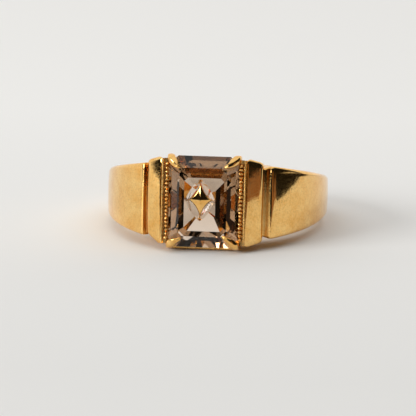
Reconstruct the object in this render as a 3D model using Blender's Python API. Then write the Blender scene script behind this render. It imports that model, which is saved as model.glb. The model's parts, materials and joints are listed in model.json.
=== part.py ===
"""A gold ring set with a step-cut smoky quartz, lying on its side as it rests on a table.

The ring is drawn in its own axes first: +Z runs along the finger, -Y points out through the stone and X runs
across the band. "Front" is a distance towards the stone, so it is -Y. An empty then tips the ring back until
the lower claws and the back of the shank touch the table, with the origin under the middle of the whole ring.
"""

import math

import bmesh
import bpy
from mathutils import Vector

MM = 0.001
SEAM = 0.05 * MM

# Band
FINGER_RADIUS = 8.6 * MM
SIDE_RADIUS = 9.87 * MM
DOME_FRONT = 13.3 * MM
SHOULDER_WIDTH = 6.4 * MM
BACK_WIDTH = 2.5 * MM
TAPER_POWER = 2.1
# Where each shoulder starts, from straight in front: the left one comes a little nearer its bar.
RIGHT_SHOULDER_ANGLE = math.radians(28.6)
LEFT_SHOULDER_ANGLE = math.radians(26.9)
OUTER_EDGE_AT_SHOULDER = 0.22 * MM
OUTER_EDGE_AT_BACK = 0.45 * MM
INNER_EDGE = 0.22 * MM
BAND_CROWN = 0.08 * MM
BAND_STATIONS = 28

# Groove between the shoulder and its bar
GROOVE_X = 5.2 * MM
GROOVE_FRONT = 10.48 * MM
GROOVE_HALF_WIDTH = 3.0 * MM
ARM_END_X = 3.7 * MM
ARM_END_FRONT = 11.33 * MM
ARM_END_HALF_WIDTH = 3.4 * MM

# Raised bar beside the stone
BAR_INNER_X = 3.78 * MM
BAR_OUTER_X = 5.04 * MM
BAR_INNER_FRONT = 12.45 * MM
BAR_OUTER_FRONT = 11.45 * MM
BAR_INNER_HALF = 3.9 * MM
BAR_OUTER_HALF = 3.48 * MM
BAR_WORN_CORNER_HALF = 2.95 * MM
BAR_EDGE = 0.1 * MM

# Stone
STONE_HALF_X = 3.1 * MM
STONE_HALF_Z = 4.0 * MM
STONE_CORNER = 0.8 * MM
GIRDLE_FRONT = 12.0 * MM
GIRDLE_THICKNESS = 0.12 * MM
# Each step is how far in from the girdle's outline it ends, the size of its cut corners, and how far out or down
# it reaches. The insets are those of the right, top, left and bottom sides: the stone is cut by hand and not
# quite even.
CROWN_STEPS = (
    ((0.3 * MM, 0.62 * MM, 0.3 * MM, 0.62 * MM), 0.68 * MM, 0.38 * MM),
    ((1.0 * MM, 1.0 * MM, 1.0 * MM, 1.0 * MM), 0.54 * MM, 0.84 * MM),
)
PAVILION_STEPS = (
    ((0.45 * MM, 0.6 * MM, 0.38 * MM, 0.4 * MM), 0.68 * MM, 0.6 * MM),
    ((1.43 * MM, 2.0 * MM, 1.25 * MM, 1.31 * MM), 0.3 * MM, 1.9 * MM),
    ((2.23 * MM, 3.02 * MM, 2.27 * MM, 2.55 * MM), 0.12 * MM, 2.58 * MM),
)
KEEL_DEPTH = 3.0 * MM
KEEL_X = -0.2 * MM
KEEL_ENDS_Z = (0.35 * MM, -0.68 * MM)
TABLE_FRONT = GIRDLE_FRONT + GIRDLE_THICKNESS / 2 + CROWN_STEPS[-1][2]

# Star let into the table, and the four leaf-shaped cuts round it
STAR_CENTRE_X = -0.23 * MM
STAR_CENTRE_Z = 0.2 * MM
STAR_HALF_X = 1.2 * MM
STAR_HALF_Z = 1.74 * MM
STAR_POWER = 0.62
CUT_HALF_X = 1.28 * MM
CUT_HALF_Z = 1.82 * MM
CUT_POWER = 1.3
CUT_DEPTH = 0.3 * MM
STAR_HOLE_DEPTH = 0.55 * MM
STAR_SIDE_TOP = 0.27 * MM
STAR_PEAK = 0.07 * MM
STAR_GAP = 0.03 * MM
STAR_POINTS = 40

# Claw setting
WALL_INNER_X = 3.17 * MM
WALL_OUTER_X = 3.65 * MM
WALL_LIP_X = 3.52 * MM
WALL_SEAT_FRONT = 12.0 * MM
WALL_LIP_FRONT = 12.36 * MM
WALL_HALF_Z = 3.74 * MM
WALL_FOOT_HALF_Z = 3.3 * MM
GALLERY_HALF_Z = 3.3 * MM
GALLERY_OPENING = (2.35 * MM, 2.65 * MM)
GALLERY_FRONT = 9.45 * MM
RAIL_FRONTS = (10.75 * MM, 11.5 * MM)
# The lower rail stands out past the stone; the upper one ends behind it.
RAIL_SPANS = ((3.26 * MM, 3.68 * MM), (-4.22 * MM, -3.5 * MM))
# A claw's centre line as (x, front, z), with its half width and half depth there.
CLAW_LINE = (
    (2.80, 8.90, 3.27, 0.34, 0.35),
    (2.84, 10.20, 3.48, 0.35, 0.37),
    (2.90, 11.40, 3.70, 0.36, 0.39),
    (2.93, 12.05, 3.82, 0.36, 0.40),
    (2.86, 12.55, 3.74, 0.40, 0.36),
    (2.62, 12.86, 3.48, 0.37, 0.28),
    (2.32, 13.00, 3.20, 0.29, 0.22),
    (2.06, 13.02, 2.97, 0.17, 0.16),
)
CLAW_SIDES = 10
# How far each claw's tip strays from that line, in x and z: left lower, right lower, left upper, right upper.
CLAW_STRAY = {
    (-1, -1): (0.12 * MM, -0.26 * MM),
    (1, -1): (-0.2 * MM, 0.02 * MM),
    (-1, 1): (-0.08 * MM, 0.06 * MM),
    (1, 1): (-0.1 * MM, 0.17 * MM),
}

# Beaded rail between the stone and the wall's lip
BEAD_PITCH = 0.34 * MM
BEAD_COUNT = 20
BEAD_HALF_X = 0.17 * MM
BEAD_HEIGHT = 0.44 * MM
BEAD_CENTRE_X = 3.31 * MM
BEAD_NECK = 0.72

GOLD = (0.83, 0.52, 0.15, 1.0)
QUARTZ = (0.42, 0.33, 0.28, 1.0)


def clear_scene():
    for obj in list(bpy.data.objects):
        bpy.data.objects.remove(obj, do_unlink=True)


def make_material(name, colour, roughness, metallic, transmission=0.0, ior=1.5):
    material = bpy.data.materials.new(name)
    material.use_nodes = True
    shader = material.node_tree.nodes["Principled BSDF"]
    shader.inputs["Base Color"].default_value = colour
    shader.inputs["Roughness"].default_value = roughness
    shader.inputs["Metallic"].default_value = metallic
    shader.inputs["Transmission Weight"].default_value = transmission
    shader.inputs["IOR"].default_value = ior
    return material


def at(x, front, z):
    """A point of the ring's own axes."""
    return Vector((x, -front, z))


def add_object(name, mesh_edit, material, parent):
    """Turns a bmesh into an object of the ring, with its faces pointing out."""
    bmesh.ops.recalc_face_normals(mesh_edit, faces=mesh_edit.faces)
    mesh = bpy.data.meshes.new(name)
    mesh_edit.to_mesh(mesh)
    mesh_edit.free()
    mesh.materials.append(material)
    obj = bpy.data.objects.new(name, mesh)
    bpy.context.scene.collection.objects.link(obj)
    obj.parent = parent
    return obj


def loft(rings):
    """A closed skin through rings of equally many points, with a face on each end."""
    mesh_edit = bmesh.new()
    rows = [[mesh_edit.verts.new(point) for point in ring] for ring in rings]
    count = len(rows[0])
    for row, following in zip(rows, rows[1:]):
        for i in range(count):
            j = (i + 1) % count
            mesh_edit.faces.new((row[i], row[j], following[j], following[i]))
    mesh_edit.faces.new(rows[0][::-1])
    mesh_edit.faces.new(rows[-1])
    return mesh_edit


def block(low, high):
    """A box between two corners, each given as (x, front, z)."""
    rings = []
    for x in (low[0], high[0]):
        rings.append(
            [
                at(x, low[1], low[2]),
                at(x, high[1], low[2]),
                at(x, high[1], high[2]),
                at(x, low[1], high[2]),
            ]
        )
    return loft(rings)


def helper(obj):
    """Marks an object as a shape that only cuts or joins."""
    obj.hide_render = True
    obj.display_type = "WIRE"
    return obj


def boolean(obj, operation, other):
    """Cuts obj by another object, or joins a whole collection to it."""
    modifier = obj.modifiers.new(operation.title(), "BOOLEAN")
    modifier.operation = operation
    modifier.solver = "EXACT"
    if isinstance(other, bpy.types.Collection):
        modifier.operand_type = "COLLECTION"
        modifier.collection = other
    else:
        modifier.object = other


# Band


def outside_radius(angle):
    """The band's outside is half an ellipse in front, which peaks over the stone, and half a circle behind."""
    if angle >= math.pi / 2:
        return SIDE_RADIUS
    return 1 / math.hypot(math.sin(angle) / SIDE_RADIUS, math.cos(angle) / DOME_FRONT)


def band_section(inner, outer, half_width, outer_edge, crown=0.0):
    """A rounded rectangle across the band, between an inner and an outer point given as (x, front)."""
    inner, outer = Vector(inner), Vector(outer)
    across = (outer - inner).normalized()
    thickness = (outer - inner).length
    corners = (
        (thickness - outer_edge, half_width - outer_edge, outer_edge, 0),
        (INNER_EDGE, half_width - INNER_EDGE, INNER_EDGE, 90),
        (INNER_EDGE, INNER_EDGE - half_width, INNER_EDGE, 180),
        (thickness - outer_edge, outer_edge - half_width, outer_edge, 270),
    )
    points = []
    for depth, height, radius, start in corners:
        for step in range(4):
            turn = math.radians(start + 30 * step)
            along = depth + radius * math.cos(turn)
            place = inner + across * along
            points.append(at(place.x, place.y, height + radius * math.sin(turn)))
    top = inner + across * (thickness + crown)
    points.append(at(top.x, top.y, 0))
    return points


def half_band_sections(shoulder_angle):
    """The sections of one half, from the setting round to the back, drawn on the right."""
    end_inner_front = math.sqrt(FINGER_RADIUS**2 - ARM_END_X**2)
    sections = [
        band_section(
            (ARM_END_X, end_inner_front),
            (ARM_END_X, ARM_END_FRONT),
            ARM_END_HALF_WIDTH,
            OUTER_EDGE_AT_SHOULDER,
        )
    ]
    groove_inner = shoulder_angle - math.radians(1)
    sections.append(
        band_section(
            (FINGER_RADIUS * math.sin(groove_inner), FINGER_RADIUS * math.cos(groove_inner)),
            (GROOVE_X, GROOVE_FRONT),
            GROOVE_HALF_WIDTH,
            OUTER_EDGE_AT_SHOULDER,
        )
    )
    for station in range(BAND_STATIONS + 1):
        share = station / BAND_STATIONS
        angle = shoulder_angle + share * (math.pi - shoulder_angle)
        inner_angle = angle + math.radians(2) * (1 - share) ** 4
        radius = outside_radius(angle)
        width = BACK_WIDTH + (SHOULDER_WIDTH - BACK_WIDTH) * (1 - share) ** TAPER_POWER
        edge_share = min(1.0, 3 * share)
        edge = OUTER_EDGE_AT_SHOULDER + (OUTER_EDGE_AT_BACK - OUTER_EDGE_AT_SHOULDER) * edge_share
        sections.append(
            band_section(
                (FINGER_RADIUS * math.sin(inner_angle), FINGER_RADIUS * math.cos(inner_angle)),
                (radius * math.sin(angle), radius * math.cos(angle)),
                width / 2,
                edge,
                BAND_CROWN,
            )
        )
    return sections


def mirrored(points):
    return [Vector((-p.x, p.y, p.z)) for p in points]


def make_shank(material, parent):
    right = half_band_sections(RIGHT_SHOULDER_ANGLE)
    left = [mirrored(points) for points in half_band_sections(LEFT_SHOULDER_ANGLE)[-2::-1]]
    return add_object("shank", loft(right + left), material, parent)


# Bars beside the stone


def make_bar(side, worn_half, material, parent):
    """A four-sided bar lying on the arm; its outer lower corner reaches only to worn_half."""
    slope = (ARM_END_FRONT - GROOVE_FRONT) / (GROOVE_X - ARM_END_X)

    def arm_front(x):
        return ARM_END_FRONT - slope * (x - ARM_END_X) + SEAM

    corners = (
        (BAR_INNER_X, arm_front(BAR_INNER_X), BAR_INNER_HALF, BAR_INNER_HALF),
        (BAR_INNER_X, BAR_INNER_FRONT, BAR_INNER_HALF, BAR_INNER_HALF),
        (BAR_OUTER_X, BAR_OUTER_FRONT, BAR_OUTER_HALF, worn_half),
        (BAR_OUTER_X + SEAM, arm_front(BAR_OUTER_X + SEAM), BAR_OUTER_HALF, worn_half),
    )
    sign = -1 if side == "left" else 1
    low = [at(sign * x, front, -below) for x, front, above, below in corners]
    high = [at(sign * x, front, above) for x, front, above, below in corners]
    mesh_edit = loft([low, high])
    bmesh.ops.bevel(
        mesh_edit,
        geom=mesh_edit.edges[:],
        offset=BAR_EDGE,
        offset_type="OFFSET",
        segments=2,
        profile=0.5,
        affect="EDGES",
        clamp_overlap=True,
    )
    return add_object(f"shoulder_bar_{side}", mesh_edit, material, parent)


# Stone


def octagon(insets, corner, front, grow=0.0):
    """The stone's outline moved in on its right, top, left and bottom, with cut corners of one size."""
    right = STONE_HALF_X - insets[0] + grow
    top = STONE_HALF_Z - insets[1] + grow
    left = insets[2] - STONE_HALF_X - grow
    bottom = insets[3] - STONE_HALF_Z - grow
    outline = (
        (right, top - corner),
        (right - corner, top),
        (left + corner, top),
        (left, top - corner),
        (left, bottom + corner),
        (left + corner, bottom),
        (right - corner, bottom),
        (right, bottom + corner),
    )
    return [at(x, front, z) for x, z in outline]


def stone_skin(grow=0.0):
    """Keel, pavilion steps, girdle, crown steps and table, as one closed skin."""
    mesh_edit = bmesh.new()
    below = GIRDLE_FRONT - GIRDLE_THICKNESS / 2
    above = GIRDLE_FRONT + GIRDLE_THICKNESS / 2
    girdle = (0.0, 0.0, 0.0, 0.0)
    rings = [
        octagon(insets, corner, below - depth - grow, grow) for insets, corner, depth in PAVILION_STEPS[::-1]
    ]
    rings.append(octagon(girdle, STONE_CORNER, below, grow))
    rings.append(octagon(girdle, STONE_CORNER, above, grow))
    rings += [octagon(insets, corner, above + rise + grow, grow) for insets, corner, rise in CROWN_STEPS]
    rows = [[mesh_edit.verts.new(point) for point in ring] for ring in rings]
    for row, following in zip(rows, rows[1:]):
        for i in range(8):
            j = (i + 1) % 8
            mesh_edit.faces.new((row[i], row[j], following[j], following[i]))
    mesh_edit.faces.new(rows[-1])
    keel_front = below - KEEL_DEPTH - grow
    high, low = (mesh_edit.verts.new(at(KEEL_X, keel_front, z)) for z in KEEL_ENDS_Z)
    ends = (high, high, high, None, low, low, low, None)
    first = rows[0]
    for i, end in enumerate(ends):
        j = (i + 1) % 8
        if end is not None:
            mesh_edit.faces.new((first[j], first[i], end))
    mesh_edit.faces.new((first[4], first[3], high, low))
    mesh_edit.faces.new((first[0], first[7], low, high))
    return mesh_edit


def curve_power(half_x, half_z, power, front):
    """A four-pointed closed curve: below power 1 its sides bend in to a star, above it they swell out."""
    points = []
    for i in range(STAR_POINTS):
        turn = 2 * math.pi * i / STAR_POINTS
        c, s = math.cos(turn), math.sin(turn)
        x = half_x * math.copysign(abs(c) ** (2 / power), c)
        z = half_z * math.copysign(abs(s) ** (2 / power), s)
        points.append(at(STAR_CENTRE_X + x, front, STAR_CENTRE_Z + z))
    return points


def star_outline(front, grow=0.0, share=1.0):
    return curve_power(share * STAR_HALF_X + grow, share * STAR_HALF_Z + grow, STAR_POWER, front)


def make_stone(material, parent):
    stone = add_object("smoky_quartz", stone_skin(), material, parent)
    clear_of_table = 0.2 * MM
    cut = [
        curve_power(CUT_HALF_X, CUT_HALF_Z, CUT_POWER, TABLE_FRONT + clear_of_table),
        curve_power(CUT_HALF_X, CUT_HALF_Z, CUT_POWER, TABLE_FRONT),
        star_outline(TABLE_FRONT - CUT_DEPTH, 2 * STAR_GAP),
        star_outline(TABLE_FRONT - STAR_HOLE_DEPTH, 2 * STAR_GAP),
    ]
    cutter = helper(add_object("star_cut", loft(cut), material, parent))
    boolean(stone, "DIFFERENCE", cutter)
    return stone


def make_star(material, parent):
    """A star with upright sides and four faces that rise to a peak in the middle."""
    rings = [
        star_outline(TABLE_FRONT - STAR_HOLE_DEPTH + STAR_GAP),
        star_outline(TABLE_FRONT - STAR_SIDE_TOP),
    ]
    rise = STAR_SIDE_TOP - STAR_PEAK
    for share in (0.6, 0.25, 0.04):
        rings.append(star_outline(TABLE_FRONT - STAR_PEAK - share**1.2 * rise, 0.0, share))
    return add_object("star_inlay", loft(rings), material, parent)


# Setting


def claw_skin(flip_x, flip_z):
    """A claw that stands at a corner of the stone and bends in over its crown."""
    stray_x, stray_z = CLAW_STRAY[(flip_x, flip_z)]
    line = []
    for x, front, z, wide, deep in CLAW_LINE:
        share = max(0.0, (2.93 - x) / (2.93 - 2.06)) if front > 12 else 0.0
        place = at(
            x * MM + share * flip_x * stray_x,
            front * MM,
            z * MM + share * flip_z * stray_z,
        )
        line.append((place, wide * MM, deep * MM))
    corner = Vector((1, 0, 1)).normalized()
    rings = []
    for i, (centre, half_wide, half_deep) in enumerate(line):
        before = line[max(i - 1, 0)][0]
        after = line[min(i + 1, len(line) - 1)][0]
        along = (after - before).normalized()
        sideways = along.cross(corner).normalized()
        outwards = sideways.cross(along).normalized()
        ring = []
        for k in range(CLAW_SIDES):
            turn = 2 * math.pi * k / CLAW_SIDES
            place = centre + sideways * half_wide * math.cos(turn) + outwards * half_deep * math.sin(turn)
            ring.append(Vector((flip_x * place.x, place.y, flip_z * place.z)))
        rings.append(ring)
    return loft(rings)


def wall_skin(sign):
    """A side wall with a seat for the beaded rail and a low lip outside it."""
    foot = FINGER_RADIUS / 2
    profile = (
        (WALL_INNER_X, foot, WALL_FOOT_HALF_Z),
        (WALL_INNER_X, WALL_SEAT_FRONT, WALL_HALF_Z),
        (WALL_LIP_X, WALL_SEAT_FRONT, WALL_HALF_Z),
        (WALL_LIP_X, WALL_LIP_FRONT, WALL_HALF_Z),
        (WALL_OUTER_X, WALL_LIP_FRONT, WALL_HALF_Z),
        (WALL_OUTER_X, foot, WALL_FOOT_HALF_Z),
    )
    return loft([[at(sign * x, front, end * half) for x, front, half in profile] for end in (-1, 1)])


def make_setting(material, parent):
    """Gallery, side walls, end rails and four claws, joined, then cut by the finger hole and the stone's seat."""
    foot = FINGER_RADIUS / 2
    inside_walls = (WALL_INNER_X + WALL_LIP_X) / 2
    gallery = block((-inside_walls, foot, -GALLERY_HALF_Z), (inside_walls, GALLERY_FRONT, GALLERY_HALF_Z))
    setting = add_object("claw_setting", gallery, material, parent)
    open_x, open_z = GALLERY_OPENING
    light_hole = helper(
        add_object(
            "light_hole",
            block((-open_x, 0, -open_z), (open_x, GALLERY_FRONT + MM, open_z)),
            material,
            parent,
        )
    )
    boolean(setting, "DIFFERENCE", light_hole)
    joined = bpy.data.collections.new("setting_parts")
    skins = [wall_skin(-1), wall_skin(1)]
    for low, high in RAIL_SPANS:
        skins.append(block((-inside_walls, RAIL_FRONTS[0], low), (inside_walls, RAIL_FRONTS[1], high)))
    for flip_z in (-1, 1):
        skins += [claw_skin(flip_x, flip_z) for flip_x in (-1, 1)]
    for number, skin in enumerate(skins):
        joined.objects.link(helper(add_object(f"setting_part_{number}", skin, material, parent)))
    boolean(setting, "UNION", joined)
    seat = helper(add_object("stone_seat", stone_skin(SEAM), material, parent))
    boolean(setting, "DIFFERENCE", seat)
    turned = [
        [
            at(FINGER_RADIUS * math.sin(turn), FINGER_RADIUS * math.cos(turn), z)
            for turn in (2 * math.pi * k / 96 for k in range(96))
        ]
        for z in (-GALLERY_HALF_Z - MM, GALLERY_HALF_Z + MM)
    ]
    finger = helper(add_object("finger", loft(turned), material, parent))
    boolean(setting, "DIFFERENCE", finger)
    return setting


def make_beaded_rail(side, material, parent):
    """A row of beads grown together: the section swells and shrinks along the rail."""
    sign = -1 if side == "left" else 1
    base = WALL_SEAT_FRONT + SEAM
    per_bead = 4
    stations = BEAD_COUNT * per_bead
    length = BEAD_COUNT * BEAD_PITCH
    rings = []
    for i in range(stations + 1):
        z = length * (i / stations - 0.5)
        swell = abs(math.sin(math.pi * i / per_bead))
        size = BEAD_NECK + (1 - BEAD_NECK) * swell
        ring = []
        for share_x, share_up in ((1, 0), (1, 0.55), (0.55, 0.93), (-0.55, 0.93), (-1, 0.55), (-1, 0)):
            x = BEAD_CENTRE_X + share_x * BEAD_HALF_X * size
            ring.append(at(sign * x, base + share_up * BEAD_HEIGHT * size, z))
        rings.append(ring)
    return add_object(f"beaded_rail_{side}", loft(rings), material, parent)


# Lying down


def lay_on_table(frame, pieces):
    """Tips the ring back until it stands on two edges, one each side of its middle, and puts the table at zero."""
    bpy.context.view_layer.update()
    graph = bpy.context.evaluated_depsgraph_get()
    points = []
    for piece in pieces:
        mesh = piece.evaluated_get(graph).to_mesh()
        points += [vertex.co.copy() for vertex in mesh.vertices]
        piece.evaluated_get(graph).to_mesh_clear()
    front_foot = min((p for p in points if p.y < 0), key=lambda p: (round(p.z, 7), p.y))
    tilt = 0.0
    for _ in range(3):
        behind = [p for p in points if p.y > 0]
        tilt = min(math.atan2(p.z - front_foot.z, p.y - front_foot.y) for p in behind)
        drop = {id(p): p.z * math.cos(tilt) - p.y * math.sin(tilt) for p in points if p.y < 0}
        front_foot = min((p for p in points if p.y < 0), key=lambda p: drop[id(p)])
    frame.rotation_euler = (-tilt, 0, 0)
    bpy.context.view_layer.update()
    turned = [frame.matrix_world.to_3x3() @ p for p in points]
    middle_y = (min(p.y for p in turned) + max(p.y for p in turned)) / 2
    frame.location = (0, -middle_y, -min(p.z for p in turned))


def shade(obj):
    obj.data.shade_smooth()
    obj.data.set_sharp_from_angle(angle=math.radians(30))


def main():
    clear_scene()
    frame = bpy.data.objects.new("ring_axis", None)
    bpy.context.scene.collection.objects.link(frame)
    gold = make_material("polished_gold", GOLD, 0.2, 1.0)
    quartz = make_material("smoky_quartz", QUARTZ, 0.0, 0.0, 1.0, 1.544)
    pieces = [
        make_shank(gold, frame),
        make_bar("left", BAR_WORN_CORNER_HALF, gold, frame),
        make_bar("right", BAR_OUTER_HALF, gold, frame),
        make_beaded_rail("left", gold, frame),
        make_beaded_rail("right", gold, frame),
        make_setting(gold, frame),
        make_star(gold, frame),
        make_stone(quartz, frame),
    ]
    for piece in pieces[:-1]:
        shade(piece)
    lay_on_table(frame, pieces)


main()
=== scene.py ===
import json
import math

import bpy
import numpy as np
from bpy.props import FloatProperty, FloatVectorProperty, IntProperty, PointerProperty
from mathutils import Matrix, Vector


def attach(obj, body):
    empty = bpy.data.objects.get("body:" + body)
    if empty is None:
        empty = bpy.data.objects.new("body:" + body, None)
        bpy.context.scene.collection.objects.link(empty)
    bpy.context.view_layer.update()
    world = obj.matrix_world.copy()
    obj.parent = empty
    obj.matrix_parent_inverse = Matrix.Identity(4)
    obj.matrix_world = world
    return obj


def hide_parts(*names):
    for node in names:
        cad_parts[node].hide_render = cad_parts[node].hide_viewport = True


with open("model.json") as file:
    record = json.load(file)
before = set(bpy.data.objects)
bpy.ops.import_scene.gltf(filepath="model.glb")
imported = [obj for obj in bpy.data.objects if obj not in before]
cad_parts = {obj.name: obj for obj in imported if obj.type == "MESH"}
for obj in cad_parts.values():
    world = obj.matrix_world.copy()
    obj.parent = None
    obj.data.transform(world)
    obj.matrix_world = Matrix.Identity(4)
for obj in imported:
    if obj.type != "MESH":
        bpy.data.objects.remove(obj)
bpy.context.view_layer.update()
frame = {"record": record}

bl_info = {
    "name": "Smoky quartz ring",
    "version": (1, 0, 0),
    "blender": (4, 5, 0),
    "location": "3D View > Sidebar > Ring",
    "description": "A gold ring with a step-cut smoky quartz, its star inlay, claws and beaded edges",
    "category": "Add Mesh",
}

MM = 0.001

# The ring's own axes, read from the flat table of the stone: RIGHT runs across the band, OUT goes out
# through the stone and ALONG follows the finger. CENTRE is the middle of the finger hole.
TABLE_MOUNT = next(m for m in frame["record"]["mounts"] if m["name"] == "table_facet")
TABLE_FRONT = 12.9 * MM
MOUNT_ABOVE_CENTRE = 2.4 * MM
RIGHT = np.array([1.0, 0.0, 0.0])
OUT = np.array(TABLE_MOUNT["axis"]) / np.linalg.norm(TABLE_MOUNT["axis"])
ALONG = np.array([0.0, OUT[2], -OUT[1]])
CENTRE = np.array(TABLE_MOUNT["pos_m"]) - TABLE_FRONT * OUT - MOUNT_ABOVE_CENTRE * ALONG

# Places that several pieces share: the arm's end beside the setting, the groove's bottom and the seat on
# which the beads stand. X is the distance from the middle, and FRONT is how far forward of the hole's centre.
ARM_X, ARM_FRONT = 3.7 * MM, 11.33 * MM
GROOVE_X = 5.2 * MM
SEAT_FRONT = 12.0 * MM


def linear(hex_colour):
    """An sRGB hex colour as linear red, green and blue."""
    parts = [int(hex_colour[i : i + 2], 16) / 255 for i in (1, 3, 5)]
    return tuple(c / 12.92 if c <= 0.04045 else ((c + 0.055) / 1.055) ** 2.4 for c in parts)


def length(name, description, millimetres):
    """A size that the sidebar shows in scene units."""
    return FloatProperty(
        name=name, description=description, default=millimetres * MM, unit="LENGTH", precision=5, min=0.0
    )


def bearing(name, description, degrees):
    """An angle that the sidebar shows in degrees."""
    return FloatProperty(name=name, description=description, default=math.radians(degrees), subtype="ANGLE")


def colour(name, description, hex_colour):
    """A colour that the sidebar shows as a swatch."""
    return FloatVectorProperty(
        name=name, description=description, default=linear(hex_colour), subtype="COLOR", min=0.0, max=1.0
    )


class BandSizes(bpy.types.PropertyGroup):
    finger_radius: length("Finger radius", "Radius of the finger hole", 8.6)
    side_radius: length("Side radius", "Outside radius at the sides and back", 9.87)
    dome_front: length("Dome", "How far forward the shoulders' curve would peak over the stone", 13.3)
    shoulder_width: length("Shoulder width", "Width of the band beside the groove", 6.4)
    back_width: length("Back width", "Width of the band at the back", 2.5)
    shoulder_edge: length("Shoulder edge", "Rounding of the outer edges at the shoulder", 0.22)
    back_edge: length("Back edge", "Rounding of the outer edges at the back", 0.45)
    inner_edge: length("Inner edge", "Rounding of the edges in the finger hole", 0.22)
    crown: length("Crown", "How far the outside swells between its edges", 0.08)
    groove_front: length("Groove", "How far forward of the centre the groove's bottom lies", 10.48)
    right_start: bearing("Right start", "Where the right shoulder starts, from straight in front", 28.6)
    left_start: bearing("Left start", "Where the left shoulder starts, from straight in front", 25.9)


class BarSizes(bpy.types.PropertyGroup):
    inner_x: length("Inner side", "Distance of the bar's inner side from the middle", 3.78)
    outer_x: length("Outer side", "Distance of the bar's outer side from the middle", 5.1)
    inner_front: length("Inner height", "How far forward the inner edge stands", 12.45)
    outer_front: length("Outer height", "How far forward the outer edge stands", 11.45)
    inner_half: length("Inner half length", "Half length of the inner edge", 3.9)
    outer_half: length("Outer half length", "Half length of the outer edge", 3.48)
    worn_half: length("Worn corner", "Half length left at the worn lower corner of the left bar", 2.95)
    edge: length("Edge", "Rounding of the bar's edges", 0.28)
    crown: length("Crown", "How far the bar's face swells", 0.1)


class SettingSizes(bpy.types.PropertyGroup):
    wall_inner: length("Wall inside", "Distance of the side wall's inside from the middle", 3.17)
    wall_outer: length("Wall outside", "Distance of the side wall's outside from the middle", 3.65)
    wall_half: length("Wall half length", "Half length of the side walls", 3.74)
    foot_half: length("Foot half length", "Half length of the walls and gallery at the finger hole", 3.3)
    gallery_front: length("Gallery height", "How far forward the gallery reaches", 9.45)
    bead_pitch: length("Bead pitch", "Distance from one bead to the next", 0.34)
    bead_height: length("Bead height", "How far a bead stands up", 0.44)
    bead_x: length("Bead place", "Distance of the beads from the middle", 3.3)
    bead_half: length("Bead half width", "Half width of a bead", 0.25)
    bead_count: IntProperty(name="Beads", description="Beads in one rail", default=20, min=2)


class StoneSizes(bpy.types.PropertyGroup):
    half_width: length("Half width", "Half of the stone's width at the girdle", 3.1)
    half_length: length("Half length", "Half of the stone's length at the girdle", 4.0)
    corner: length("Corner cut", "How much each corner is cut off", 0.8)
    girdle_front: length("Girdle height", "How far forward the girdle lies", 12.0)
    girdle: length("Girdle", "Thickness of the girdle", 0.12)
    keel_depth: length("Depth", "Depth of the keel below the girdle", 3.0)
    star_half_width: length("Star half width", "Half of the star's width", 1.2)
    star_half_length: length("Star half length", "Half of the star's length", 1.74)
    cut_half_width: length("Recess half width", "Half of the recess's width at the table", 1.28)
    cut_half_length: length("Recess half length", "Half of the recess's length at the table", 1.82)
    cut_depth: length("Recess depth", "Depth of the recess where it meets the star", 0.3)


class Finishes(bpy.types.PropertyGroup):
    gold: colour("Gold", "Colour of the polished gold", "#FFD488")
    gold_deep: colour("Deep gold", "Colour of the gold in its dulled patches", "#EFB25C")
    gold_pits: colour("Soiled gold", "Colour of the gold where old polish sits in its pits", "#8A5220")
    smoke: colour("Smoke", "Colour that white light takes on in the quartz", "#D9B988")
    # Painted shade: the paper is painted darker near the camera and paler behind the ring. This stands in for
    # the shade that the dark room in front of the ring casts on the near paper.
    paper: colour("Paper", "Colour of the table near the camera", "#E7E7E5")
    paper_far_lit: colour("Paper further off", "Colour of the table behind the ring", "#F7F7F5")


class RingParts(bpy.types.PropertyGroup):
    band: PointerProperty(type=BandSizes, name="Band")
    bars: PointerProperty(type=BarSizes, name="Bars")
    setting: PointerProperty(type=SettingSizes, name="Setting")
    stone: PointerProperty(type=StoneSizes, name="Stone")
    finishes: PointerProperty(type=Finishes, name="Finishes")


# Surfaces


def ring_points(x, front, z):
    """Points given in the ring's axes: the hole's centre plus each distance along its own direction."""
    x, front, z = np.broadcast_arrays(x, front, z)
    return CENTRE + x[..., None] * RIGHT + front[..., None] * OUT + z[..., None] * ALONG


def tube(points, wrap=False):
    """Triangles over a grid of points. Columns go round and always close; rows close too when wrap is set,
    and otherwise each end is filled by a fan about the mean of its row. Returns corners and triangles."""
    rows, columns = points.shape[:2]
    corners = points.reshape(-1, 3)
    row = np.arange(rows if wrap else rows - 1)[:, None] * columns
    column = np.arange(columns)[None, :]
    following = (column + 1) % columns
    above = (row + columns) % (rows * columns)
    a, b, c, d = row + column, row + following, above + following, above + column
    triangles = [np.stack((a, b, c), -1).reshape(-1, 3), np.stack((a, c, d), -1).reshape(-1, 3)]
    if not wrap:
        column, following = column[0], following[0]
        last = (rows - 1) * columns
        first_middle, last_middle = len(corners), len(corners) + 1
        corners = np.vstack((corners, points[0].mean(0), points[-1].mean(0)))
        triangles.append(np.stack((following, column, np.full(columns, first_middle)), -1))
        triangles.append(np.stack((last + column, last + following, np.full(columns, last_middle)), -1))
    return corners, np.vstack(triangles)


def outward(corners, triangles):
    """Turns the triangles round if the volume they enclose comes out negative."""
    a, b, c = (corners[triangles[:, i]] - corners.mean(0) for i in range(3))
    volume = np.einsum("ij,ij->", a, np.cross(b, c))
    return triangles if volume > 0 else triangles[:, ::-1]


def welded(corners, triangles):
    """Merges corners closer than a ten-thousandth of a millimetre and drops the triangles that vanish."""
    _, first, index = np.unique(
        np.round(corners / (1e-4 * MM)).astype(np.int64), axis=0, return_index=True, return_inverse=True
    )
    triangles = index.reshape(-1)[triangles]
    a, b, c = triangles.T
    return corners[first], triangles[(a != b) & (b != c) & (a != c)]


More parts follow.
